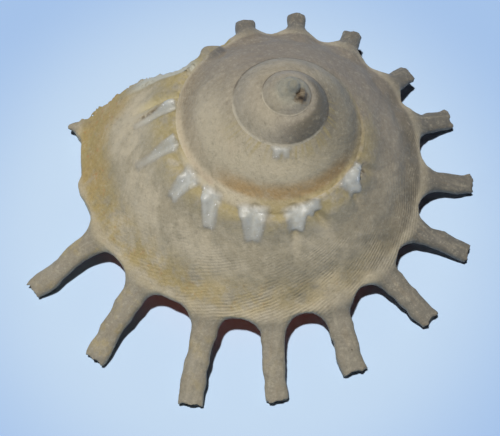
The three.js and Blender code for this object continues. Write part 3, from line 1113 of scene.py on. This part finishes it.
def spire_colour(colour, turn, out, angle, patches):
    """The lap before with its brown band and pale edge, and the older laps, with painted light on
    their front and on the lit side of the edge and suture, and painted shade on their right side,
    flank, third lap and the other side of the suture.
    """
    to_light = between(sum_of("SINE", angle + 0.5), 0.1, -0.5)
    lap = within(turn, -1.6, -0.93, 0.05)
    low = within(turn, -1.5, -1.03, 0.05)
    shoulder = within(out, 0.6, 0.86, 0.08) * lap * 0.6
    colour = blended(shoulder, colour, CREAM)
    # Painted light: the front of the older laps is lightened, as if lit from the front.
    front = between(sum_of("SINE", angle + 0.2), 0.3, -0.8)
    front_painted_light = front * between(turn, -0.94, -1.0) * 0.22
    colour = blended(front_painted_light, colour, FRONT_PAINTED_LIGHT)
    band = (within(out, 0.84, 0.975, 0.05) * within(turn, -1.38, -1.11, 0.04)
            * between(patches, 0.3, 0.55, 0.5, 1.0))
    colour = blended(band * 0.8, colour, BAND_BROWN)
    # Painted shade: the right side of the lap before is darkened, away from the light.
    right = between(sum_of("COSINE", angle), 0.1, 0.9, 0.0, 0.5)
    colour = blended(right * lap, colour, SPIRE_DARK_AND_PAINTED_SHADE)
    # Painted shade: a brown-grey band along the flank just inside the pale edge, where it curves in.
    side = within(out, 0.83, 0.95, 0.04) * within(turn, -1.05, -0.85, 0.04)
    colour = blended(side * 0.25, colour, FLANK_BROWN_AND_SHADE)
    on_skirt = between(out, 0.548, 0.532) * within(turn, SKIRT_FROM + 1, SKIRT_TO + 1, 0.03)
    edge = between(out, 0.92, 0.97) * lap
    edge = sum_of("MAXIMUM", edge, on_skirt)
    to_front = between(sum_of("COSINE", angle), -0.55, -0.25)
    pale = blended(to_front, PALE_FLANGE, FLANGE_YELLOW)
    # Painted light: the pale edge is stronger on the side turned towards the light and fainter away
    # from it.
    edge = edge * (0.25 + to_light * 0.6)
    colour = blended(edge, colour, pale)
    rays = noise(vector_of(turn * 70.0, out * 2.0, 0.0), 1.0, 2.0, 0.5, 16.0)
    seam = between(out, 0.7, 0.56) * low * between(rays, 0.46, 0.6)
    colour = blended(seam * 0.6, colour, YELLOW_HOLLOW)
    inner = between(turn, -1.85, -2.0)
    left = between(sum_of("COSINE", angle), -0.1, -0.8, 0.75, 0.25)
    colour = blended(inner * left, colour, SPIRE_GREY)
    # Darker band on the third lap: partly its greyer colour, partly painted shade where it turns away
    # from the light.
    dark = within(turn, -2.62, -2.22, 0.08) * between(out, 0.54, 0.72)
    colour = blended(dark * 0.8, colour, SPIRE_DARK_AND_PAINTED_SHADE)
    # Painted light and shade on the suture: pale on the side turned towards the light, dark on the
    # other side.
    suture = between(out, 0.95, 0.975) * between(turn, -1.5, -1.7)
    suture_colour = blended(to_light, SEAM_PAINTED_SHADE, SEAM_PALE_AND_PAINTED_LIGHT)
    return blended(suture * 0.7, colour, suture_colour)


def apex_colour(colour, place, reach):
    """The grey apex with its brown pit, and the small pits at the seam."""
    apex = between(reach, 5.0, 2.5)
    colour = blended(apex * 0.8, colour, APEX_GREY)
    pit_far = pit_distance(place, APEX_PIT)
    stain = between(pit_far, APEX_PIT_WIDTH * 1.6, APEX_PIT_WIDTH * 0.7)
    colour = blended(stain * 0.8, colour, STAIN)
    pit = between(pit_far, APEX_PIT_WIDTH * 0.9, APEX_PIT_WIDTH * 0.4)
    colour = blended(pit * 0.9, colour, PIT_BROWN)
    for middle, width in SEAM_PITS:
        pit = between(pit_distance(place, middle), width * 1.3, width * 0.3)
        colour = blended(pit * 0.8, colour, BROWN_DOTS_AND_PAINTED_SHADE)
    return colour


def flecks(place):
    """A share that comes and goes, for broken lines."""
    return between(noise(place, 0.9, 3.0, 0.6, 37.0), 0.42, 0.58, 0.0, 0.8)


def lip_colour(colour, place, turn, out):
    """The hollow and the crest behind the lip, with painted shade in the hollow and under the crest
    and a painted highlight along the crest, and the flaky whitish lip.
    """
    near_lip = attribute_value(place.tree, "lip")
    # Painted shade: the hollow behind the lip is darkened to olive.
    hollow = near_lip * (1.0 - near_lip) * 4.0 * between(out, 0.84, 0.66) * by_the_lip(turn)
    colour = blended(hollow * 0.7, colour, HOLLOW_OLIVE_PAINTED_SHADE)
    across_crest = turn + out * 0.1 - 0.123
    on_crest = by_the_lip(turn) * between(out, 0.72, 0.64)
    # Painted highlight: a pale yellow line along the crest.
    crest = within(across_crest, -0.005, 0.009, 0.004) * on_crest * 0.4
    colour = blended(crest, colour, CREST_PAINTED_HIGHLIGHT)
    # Painted shade: a broken dark line just under the crest.
    under_crest_painted_shade = within(across_crest, -0.015, -0.01, 0.002) * on_crest
    colour = blended(under_crest_painted_shade * flecks(place), colour, BROWN_DOTS_AND_PAINTED_SHADE)
    lip = between(near_lip, 0.1, 0.3) * between(out, 0.8, 0.7) * by_the_lip(turn)
    flakes = between(noise(place, 0.35, 3.0, 0.6, 15.0), 0.3, 0.42)
    return blended(lip * flakes * 0.95, colour, LIP_WHITE)


def digit_colour(colour, place, turn, reach, angle, digit):
    """Grey digits, darker away from the lip, partly their own darker grey and partly painted shade,
    stained and finely streaked.
    """
    # The digits further round are darker: partly their own grey, partly painted shade on the side
    # turned away from the light.
    grey = blended(between(turn, -0.22, -0.42), DIGIT_GREY, DIGIT_DARK_AND_SHADE)
    stain = between(noise(place, 0.25, 4.0, 0.65, 19.0), 0.5, 0.66)
    stain = stain * between(turn, -0.3, -0.1) * 0.6
    grey = blended(stain, grey, OCHRE)
    radial = vector_of(angle * 30.0, reach * 0.12, 0.0)
    radial = noise(radial, 1.0, 4.0, 0.65, 27.0)
    grey = blended(between(radial, 0.5, 0.66, 0.0, 0.3), grey, CREAM)
    grey = blended(between(radial, 0.5, 0.36, 0.0, 0.3), grey, FLANK_BROWN_AND_SHADE)
    return blended(digit * 0.75, colour, grey)


def stub_colour(colour, place, out, stub):
    """Bluish white stubs, with painted shade as dark outlines along their edges."""
    cloud = between(noise(place, 0.8, 3.0, 0.6, 12.0), 0.3, 0.6, 0.75, 1.0)
    # Painted shade: the edges of the stubs are darkened where they meet the whorl.
    outline = stub * (1.0 - stub) * 4.0
    fading = between(out, 0.58, 0.72, 1.0, 0.55)
    colour = blended(stub * cloud * fading, colour, STUB_WHITE)
    return blended(outline * 0.22, colour, BROWN_DOTS_AND_PAINTED_SHADE)


def fine_marks(colour, place, stub):
    """Fine mottling in light and dark, small brown dots, and a few painted glints on the stubs."""
    grains = noise(place, 1.1, 6.0, 0.75, 25.0)
    share = 0.32 - stub * 0.22
    dark = between(grains, 0.5, 0.68) * share
    light = between(grains, 0.5, 0.34) * share
    colour = blended(dark, colour, SPIRE_DARK_AND_PAINTED_SHADE)
    colour = blended(light, colour, SEAM_PALE_AND_PAINTED_LIGHT)
    # Painted glints: a few white points on the stubs.
    painted_glints = between(noise(place, 1.7, 2.0, 0.5, 52.0), 0.66, 0.72)
    colour = blended(painted_glints * stub, colour, PAINTED_GLINT)
    speckle = noise(place, 1.3, 2.0, 0.7, 21.0)
    dots = between(speckle, 0.73, 0.8) * (1.0 - stub)
    return blended(dots * 0.7, colour, BROWN_DOTS_AND_PAINTED_SHADE), dots


def on_body_whorl(place, turn, out, digit):
    """Where the riblets show: on the body whorl, unevenly worn, and hardly on the digits."""
    worn = between(noise(place, 0.12, 3.0, 0.6, 44.0), 0.38, 0.60, 0.2, 1.0)
    return (between(turn, -0.98, -0.92) * between(out, 0.62, 0.95, 0.1, 1.0)
            * between(turn, 0.0, -0.26, 0.25, 1.0) * worn * (1.0 - digit * 0.85))


def new_material(name):
    """A material, its tree and its shader."""
    material = bpy.data.materials.new(name)
    material.use_nodes = True
    return material, material.node_tree, material.node_tree.nodes["Principled BSDF"]


def shell_material():
    """Worn, chalky shell: cream and grey clouds, ochre at the rim, fine riblets with painted shade in
    their grooves, and dots.
    """
    material, tree, shader = new_material("carrier shell")
    place = made_by(tree, "ShaderNodeTexCoord", (), "Object") * (1 / MM)
    turn, out, reach, angle = coil_place(place)
    digit, stub = attribute_value(tree, "digit"), attribute_value(tree, "stub")
    colour, patches, streaks = body_colour(place, turn, out)
    colour = spire_colour(colour, turn, out, angle, patches)
    colour = apex_colour(colour, place, reach)
    colour = lip_colour(colour, place, turn, out)
    colour = digit_colour(colour, place, turn, reach, angle, digit)
    colour = stub_colour(colour, place, out, stub)
    _, _, upwards = parts_of(made_by(tree, "ShaderNodeNewGeometry", (), "Normal"))
    # The underside: partly the shell's brown, darkened as painted shade for the dark band under the
    # rim.
    underside = between(upwards, 0.0, -0.5)
    colour = blended(underside * (0.9 - digit * 0.5), colour, UNDERSIDE_BROWN_AND_SHADE)
    colour = blended(attribute_value(tree, "inside"), colour, INSIDE)
    riblets = riblet_wave(reach, angle, place)
    on_body = on_body_whorl(place, turn, out, digit)
    # Painted shade in the grooves between the riblets.
    colour = blended(between(riblets, 0.0, -1.0) * on_body * 0.12, colour, BROWN_DOTS_AND_PAINTED_SHADE)
    colour, dots = fine_marks(colour, place, stub)
    fine = noise(place, 1.4, 5.0, 0.75, 33.0)
    height = (riblets * on_body * 0.042 + fine * (0.24 - stub * 0.12) + streaks * 0.22
              - dots * 0.2)
    bump = made_by(tree, "ShaderNodeBump", {"Distance": MM, "Height": height})
    roughness = 0.50 + patches * 0.16 - stub * 0.36
    feed(shader, {"Base Color": colour, "Roughness": roughness, "Normal": bump})
    return material


# The setting.


FLOOR_PAINTED_LIGHT = srgb(200, 226, 255)
FLOOR_FAR = srgb(168, 202, 248)
FLOOR_HALF = 12.0


def floor_material():
    """Pale bluish card, with a painted pool of light around the shell."""
    material, tree, shader = new_material("pale floor")
    place = made_by(tree, "ShaderNodeTexCoord", (), "Object")
    # Painted light: the floor is lighter near the shell.
    share = between(sum_of("DISTANCE", place, (-0.004, -0.006, 0.0)), 0.045, 0.085)
    feed(shader, {"Base Color": blended(share, FLOOR_PAINTED_LIGHT, FLOOR_FAR), "Roughness": 0.9})
    return material


def make_floor():
    mesh = bpy.data.meshes.new("floor")
    corners = [(-1, -1, 0), (1, -1, 0), (1, 1, 0), (-1, 1, 0)]
    mesh.from_pydata([Vector(corner) * FLOOR_HALF for corner in corners], [], [(0, 1, 2, 3)])
    floor = in_scene("floor", mesh)
    mesh.materials.append(floor_material())


def make_camera():
    data = bpy.data.cameras.new("camera")
    data.lens = CAMERA_LENS
    data.sensor_width = CAMERA_SENSOR
    camera = in_scene("camera", data)
    level_up = Vector((0.0, -CAMERA_LOOKS.z, CAMERA_LOOKS.y))
    right = Vector((1, 0, 0)) * math.cos(CAMERA_ROLL) + level_up * math.sin(CAMERA_ROLL)
    back = -CAMERA_LOOKS.normalized()
    up = back.cross(right)
    turn = Matrix((right, up, back)).transposed()
    camera.matrix_world = Matrix.Translation(CAMERA_PLACE * MM) @ turn.to_4x4()
    bpy.context.scene.camera = camera


def add_lamp(name, kind, place, aim, colour, **settings):
    data = bpy.data.lights.new(name, kind)
    data.color = colour
    for setting, value in settings.items():
        setattr(data, setting, value)
    lamp = in_scene(name, data)
    lamp.location = place
    lamp.rotation_euler = (Vector(aim) - Vector(place)).to_track_quat("-Z", "Y").to_euler()
    return lamp


def make_lights():
    """An even light from high above, a weak soft lamp from the left, faint air all around, and
    under the shell the little warm light that its thin wall lets through."""
    add_lamp("key", "SUN", (-0.09, 0.09, 0.90), (0, 0, 0), (1.0, 0.97, 0.93),
             angle=math.radians(3.0), energy=2.95)
    add_lamp("soft left", "AREA", (-0.62, -0.20, 0.62), (0, 0, 0.01), (1.0, 0.98, 0.95),
             shape="DISK", size=0.4, energy=0.045)
    glow = add_lamp("light through the thin wall", "AREA", (-0.002, 0.0, 0.004), (-0.002, 0.0, 0.0),
                    (1.0, 0.17, 0.05), shape="DISK", size=0.068, energy=0.0008)
    glow.visible_camera = False
    glow.visible_glossy = False
    world = bpy.data.worlds.new("studio")
    bpy.context.scene.world = world
    world.use_nodes = True
    air = {"Color": srgb(250, 232, 212), "Strength": 0.004}
    feed(world.node_tree.nodes["Background"], air)


def rest_on_floor(mesh):
    """Nothing of the shell goes below the surface that it lies on."""
    points = np.empty(len(mesh.vertices) * 3, np.float32)
    mesh.vertices.foreach_get("co", points)
    points[2::3] = np.maximum(points[2::3], 0.0)
    mesh.vertices.foreach_set("co", points)


def build():
    make_camera()
    make_lights()
    make_floor()
    material = shell_material()
    shell = make_shell(material)
    smooth_out(shell)
    lift_relief(shell, material)
    thin_out(shell)
    mesh = shell.data
    rest_on_floor(mesh)
    mesh.transform(Matrix.Scale(MM, 4))
    mesh.materials.clear()
    mesh.materials.append(material)
    mesh.polygons.foreach_set("use_smooth", np.ones(len(mesh.polygons), bool))
    mesh.update()
    print("triangles", sum(len(face.vertices) - 2 for face in mesh.polygons))
    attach(shell, "root")
    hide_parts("shell")


build()
bpy.context.scene.view_settings.view_transform = "Standard"
